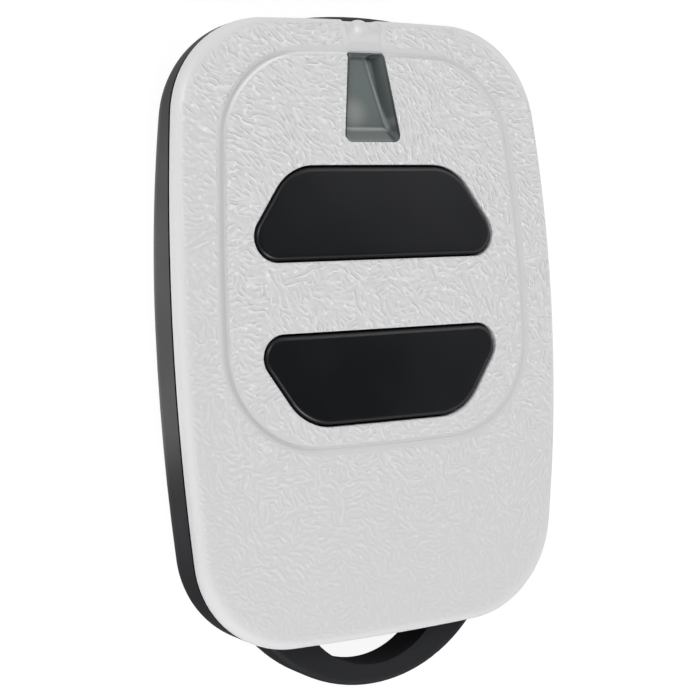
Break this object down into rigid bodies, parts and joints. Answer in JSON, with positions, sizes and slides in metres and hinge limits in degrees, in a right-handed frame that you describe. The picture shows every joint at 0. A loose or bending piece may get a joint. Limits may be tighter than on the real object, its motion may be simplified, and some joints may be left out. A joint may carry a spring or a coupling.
{
  "type": "garage door remote",
  "caption": "Flat hand-held radio remote with a pale domed front cover, black keys, a recessed smoky indicator window and a black rear shell with a key-ring loop.",
  "frame": {"origin": "centre of the case outline, in the plane of the flat back that it lies on", "axes": "+Z out of the button face, +Y to the indicator window and away from the key-ring loop, +X to the right seen from the front"},
  "size_m": [0.0434, 0.0681, 0.0096],
  "materials": {
    "cover_plastic": "pale grey plastic, fine leathery grain, satin",
    "rear_plastic": "black plastic, fine matt",
    "key_plastic": "black plastic, smooth satin",
    "smoky_window": "smoky translucent plastic",
    "board": "green lacquered laminate",
    "copper": "tinned copper trace",
    "cell_steel": "nickel-plated steel",
    "spring_steel": "spring steel sheet",
    "contact_metal": "tinned spring metal",
    "gasket": "grey sealing plastic",
    "white_part": "white moulded plastic",
    "clear_resin": "clear resin",
    "black_resin": "moulded black resin",
    "ceramic": "fired ceramic",
    "brass_part": "plated brass"
  },
  "bodies": {
    "case": {"antenna_trace": "copper", "battery_can": "cell_steel", "battery_cap": "cell_steel", "battery_gasket": "gasket", "chip_capacitors": "ceramic", "chip_resistors": "black_resin", "circuit_board": "board", "controller_chip": "black_resin", "controller_leads": "contact_metal", "front_cover": "cover_plastic", "led_base": "white_part", "led_lens": "clear_resin", "light_pipe": "smoky_window", "lower_switch_base": "black_resin", "lower_switch_cover": "contact_metal", "lower_switch_dome": "spring_steel", "lower_switch_terminals": "contact_metal", "negative_contact": "contact_metal", "positive_clip": "contact_metal", "rear_cover": "rear_plastic", "resonator": "cell_steel", "transmitter_chip": "black_resin", "transmitter_leads": "contact_metal", "trimmer_base": "ceramic", "trimmer_rotor": "brass_part", "upper_switch_base": "black_resin", "upper_switch_cover": "contact_metal", "upper_switch_dome": "spring_steel", "upper_switch_terminals": "contact_metal"},
    "upper_button": {"upper_button": "key_plastic"},
    "lower_button": {"lower_button": "key_plastic"},
    "upper_plunger": {"upper_switch_plunger": "white_part"},
    "lower_plunger": {"lower_switch_plunger": "white_part"}
  },
  "joints": [
    {"name": "upper_button_press", "type": "slide", "parent": "case", "child": "upper_button", "axis": [0, 0, -1], "range_m": [0, 0.00025], "stiffness_N_per_m": 2500, "springref_m": -0.0001},
    {"name": "lower_button_press", "type": "slide", "parent": "case", "child": "lower_button", "axis": [0, 0, -1], "range_m": [0, 0.00025], "stiffness_N_per_m": 2500, "springref_m": -0.0001},
    {"name": "upper_plunger_press", "type": "slide", "parent": "case", "child": "upper_plunger", "axis": [0, 0, -1], "range_m": [0, 0.00025], "deforming": ["upper_switch_dome"]},
    {"name": "lower_plunger_press", "type": "slide", "parent": "case", "child": "lower_plunger", "axis": [0, 0, -1], "range_m": [0, 0.00025], "deforming": ["lower_switch_dome"]}
  ],
  "couplings": [
    {"joint": "upper_plunger_press", "follows": "upper_button_press", "ratio": 1},
    {"joint": "lower_plunger_press", "follows": "lower_button_press", "ratio": 1}
  ]
}
